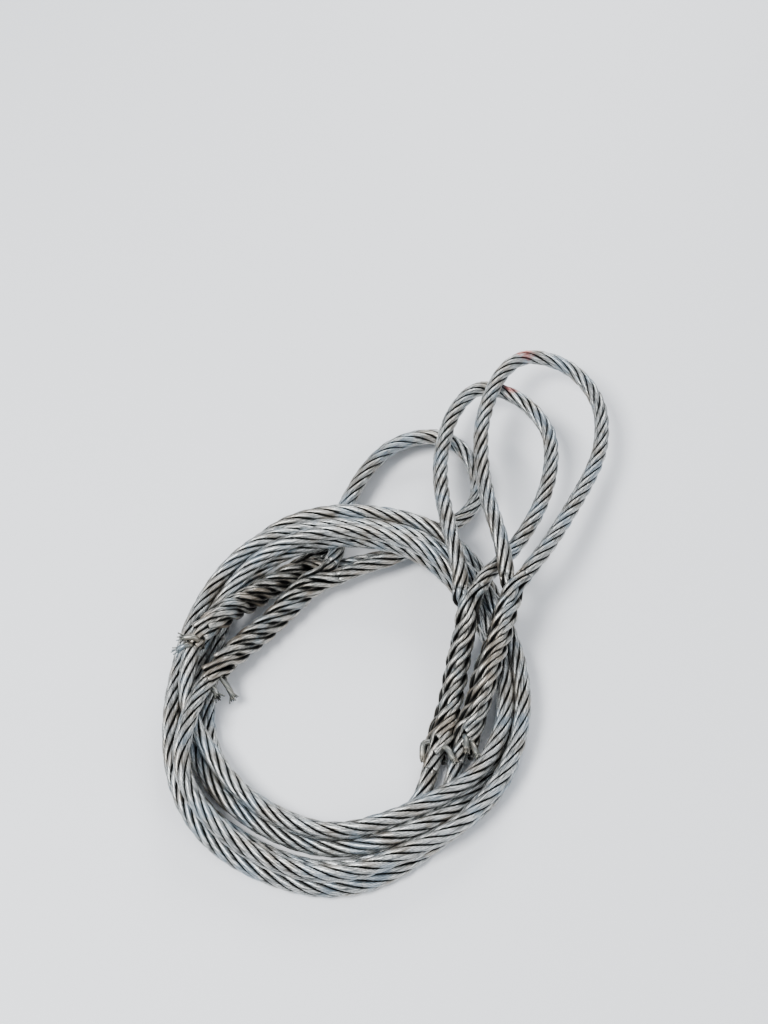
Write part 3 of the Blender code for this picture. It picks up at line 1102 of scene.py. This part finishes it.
class Slings:
    """Both slings: the coil, the eyes, the splices and the cut tails."""

    splice_reach = 8.0 * MM

    def __init__(self) -> None:
        """Lay out every axis and settle the coil."""
        self.splices = {end: Splice(end, seed=3 + 7 * k) for k, end in enumerate(End)}
        self.eye_lines = {
            end: Centreline(smooth_curve(in_frame(EYES[end]), ROPE.step)) for end in End
        }
        winding = Winding()
        for end in End:
            eye = resampled(self.eye_lines[end].points, winding.step)
            splice = resampled(self.splices[end].line.points, winding.step)
            winding.obstacles += [(eye, ROPE.diameter / 2), (splice, self.splice_reach)]
        pairs = ((End.FRONT, End.BACK, OUTER_TURNS), (End.MIDDLE, End.TUCKED, INNER_TURNS))
        routes = [winding.route(turns, LEADS[a], LEADS[b]) for a, b, turns in pairs]
        settled = winding.settle(routes)
        self.bodies: dict[End, tuple[LaidRope, End]] = {}
        for (first, last, _), points in zip(pairs, settled):
            line = Centreline(smooth_curve(points, ROPE.step))
            self.bodies[first] = (LaidRope(line, start_angle=0.4), last)

    @staticmethod
    def dress(piece: bpy.types.Object, finish: bpy.types.Material, slot: str, *nodes: str) -> None:
        """Give a piece its finish and hide the CAD nodes that it replaces.

        Args:
            piece: The piece.
            finish: Its material.
            slot: Not used.
            *nodes: The CAD nodes that it replaces.
        """
        piece.data.materials.append(finish)
        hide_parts(*nodes)
        LOG.info("%s: %d faces", piece.name, len(piece.data.polygons))

    @staticmethod
    def declare(piece: bpy.types.Object, line: Centreline, diameter: float, lay: str) -> None:
        """Args:
            piece: The piece.
            line: The cord's axis.
            diameter: Not used.
            lay: Not used.
        """
        LOG.info("%s: %.3f m long", piece.name, line.length)

    def build_bodies(self, finish: bpy.types.Material) -> dict[End, float]:
        """Make the two coiled ropes.

        Args:
            finish: The rope's material.

        Returns:
            The angle of the first strand in each splice, at that splice's far end.
        """
        angles = {}
        for number, (first, (rope, last)) in enumerate(self.bodies.items()):
            name = f"{first.value}_sling_rope"
            piece = rope.build(name, seed=41 + 11 * number, soil=0.6, fade=70 * MM)
            nodes = (f"{first.value}_sling_coil", f"{first.value}_lead", f"{last.value}_lead")
            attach(piece, "slings")
            self.dress(piece, finish, "galvanised_rope", *nodes)
            self.declare(piece, rope.line, ROPE.diameter, "coiled")
            angles[first] = self.splices[first].line.angle_of(rope.centres(0)[0], -1)
            angles[last] = self.splices[last].line.angle_of(rope.centres(0)[-1], -1)
        return angles

    def build_eye(self, end: End, finish: bpy.types.Material) -> LaidRope:
        """Make one eye.

        Args:
            end: Which eye.
            finish: Its material.

        Returns:
            The eye's rope.
        """
        facts = EYE_FACTS[end]
        rope = LaidRope(self.eye_lines[end], start_angle=0.9)
        name = f"{end.value}_eye_rope"
        piece = rope.build(name, seed=101 + len(end.value), soil=0.5, fade=50 * MM)
        if facts.bend_start and facts.bend_end:
            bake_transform(piece)
        else:
            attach(piece, facts.body)
        self.dress(piece, finish, "galvanised_rope", f"{end.value}_eye")
        self.declare(piece, rope.line, ROPE.diameter, "loose")
        return rope

    def build_splice(
        self, end: End, eye: LaidRope, last_angle: float, finish: bpy.types.Material
    ) -> None:
        """Make one splice.

        Args:
            end: Which splice.
            eye: The eye's rope, whose limbs run into the splice.
            last_angle: The rope's first strand's angle where the splice ends.
            finish: The splice's material.
        """
        splice = self.splices[end]
        piece = splice.build(eye, last_angle)
        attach(piece, "slings")
        self.dress(piece, finish, "spliced_strand", f"{end.value}_splice")
        self.declare(piece, splice.line, splice.diameter, "loose")

    def build_tails(self, end: End, finish: bpy.types.Material) -> None:
        """Make the tails beside one splice.

        Args:
            end: Which splice.
            finish: The tails' material.
        """
        line = self.splices[end].line.points
        fray = Fray.SPLAYED if end in (End.BACK, End.TUCKED) else Fray.TRIMMED
        for number, (start, reach) in enumerate(TAILS[end], 1):
            tail = CutTail(start, reach, line, seed=number + len(end.value), fray=fray)
            piece = tail.build(f"{end.value}_cut_tail_{number}")
            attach(piece, "slings")
            self.dress(piece, finish, "cut_wire", f"{end.value}_cut_end_{number}")

    def build(self) -> None:
        """Make every piece and dress it."""
        rope = SteelFinish("galvanised_rope").material()
        spliced = SteelFinish("spliced_strand", warm_share=0.55).material()
        dull = (0.42, 0.42, 0.36)
        cut = SteelFinish("cut_wire", light=dull, shade_and_grease_from=0.4, shade_and_grease_to=0.8).material()
        angles = self.build_bodies(rope)
        for end in End:
            finish, spot = rope, EYE_FACTS[end].paint_spot
            if spot is not None:
                place = tuple(in_frame([spot])[0])
                finish = SteelFinish(f"{end.value}_eye_marked", paint_spot=place).material()
            eye = self.build_eye(end, finish)
            self.build_splice(end, eye, angles[end], spliced)
            self.build_tails(end, cut)


# ---------------------------------------------------------------- studio


@dataclass(frozen=True)
class SoftLight:
    """A square soft light that looks at the coil."""

    name: str
    spot: Place
    size: float
    power: float

    def hang(self) -> None:
        """Hang the light."""
        data = bpy.data.lights.new(self.name, "AREA")
        data.energy = self.power
        data.size = self.size
        light = bpy.data.objects.new(self.name, data)
        bpy.context.scene.collection.objects.link(light)
        light.location = self.spot
        light.rotation_euler = (-Vector(self.spot)).to_track_quat("-Z", "Y").to_euler()


@dataclass(frozen=True)
class Studio:
    """A pale floor, soft light and the camera."""

    camera_spot: Place = (-0.01014, -0.46045, 0.81347)
    elevation: float = 56.0
    lens: float = 43.52
    sensor: float = 36.0
    floor_size: float = 8.0
    floor_height: float = -0.0006
    floor_colour: Colour = (0.96, 0.975, 1.0)
    glow: Colour = (0.80, 0.86, 0.95)
    glow_strength: float = 0.62
    lights: tuple[SoftLight, ...] = (
        SoftLight("key_light", (-0.9, -0.5, 1.7), 0.7, 52.0),
        SoftLight("fill_light", (1.3, -0.9, 1.2), 1.2, 13.0),
        SoftLight("rim_light", (0.3, 1.6, 1.1), 0.8, 22.0),
    )

    def lay_floor(self) -> None:
        """Lay the pale floor just under the rope."""
        bpy.ops.object.select_all(action="DESELECT")
        spot = (0, 0, self.floor_height)
        bpy.ops.mesh.primitive_plane_add(size=self.floor_size, location=spot)
        plane = bpy.context.object
        plane.name = "studio_floor"
        plane.data.transform(plane.matrix_world)
        plane.matrix_world = Matrix.Identity(4)
        material = bpy.data.materials.new("pale_floor")
        material.use_nodes = True
        shader = material.node_tree.nodes["Principled BSDF"]
        shader.inputs["Base Color"].default_value = (*self.floor_colour, 1.0)
        shader.inputs["Roughness"].default_value = 0.55
        plane.data.materials.append(material)

    def light(self) -> None:
        """Hang the soft lights and set the surrounding glow."""
        for light in self.lights:
            light.hang()
        world = bpy.data.worlds.new("pale_surround")
        world.use_nodes = True
        glow = world.node_tree.nodes["Background"]
        glow.inputs["Color"].default_value = (*self.glow, 1.0)
        glow.inputs["Strength"].default_value = self.glow_strength
        bpy.context.scene.world = world

    def set_camera(self) -> None:
        """Set the camera at its viewing angle."""
        data = bpy.data.cameras.new("view_camera")
        data.lens = self.lens
        data.sensor_width = self.sensor
        data.clip_start = 0.01
        camera = bpy.data.objects.new("view_camera", data)
        bpy.context.scene.collection.objects.link(camera)
        camera.location = self.camera_spot
        camera.rotation_euler = (math.radians(90.0 - self.elevation), 0.0, 0.0)
        bpy.context.scene.camera = camera


def main() -> None:
    """Load the frame, build both slings and set the studio."""
    logging.basicConfig(level=logging.INFO, format="%(message)s")
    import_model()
    studio = Studio()
    studio.set_camera()
    Slings().build()
    studio.lay_floor()
    studio.light()


if __name__ == "__main__":
    main()
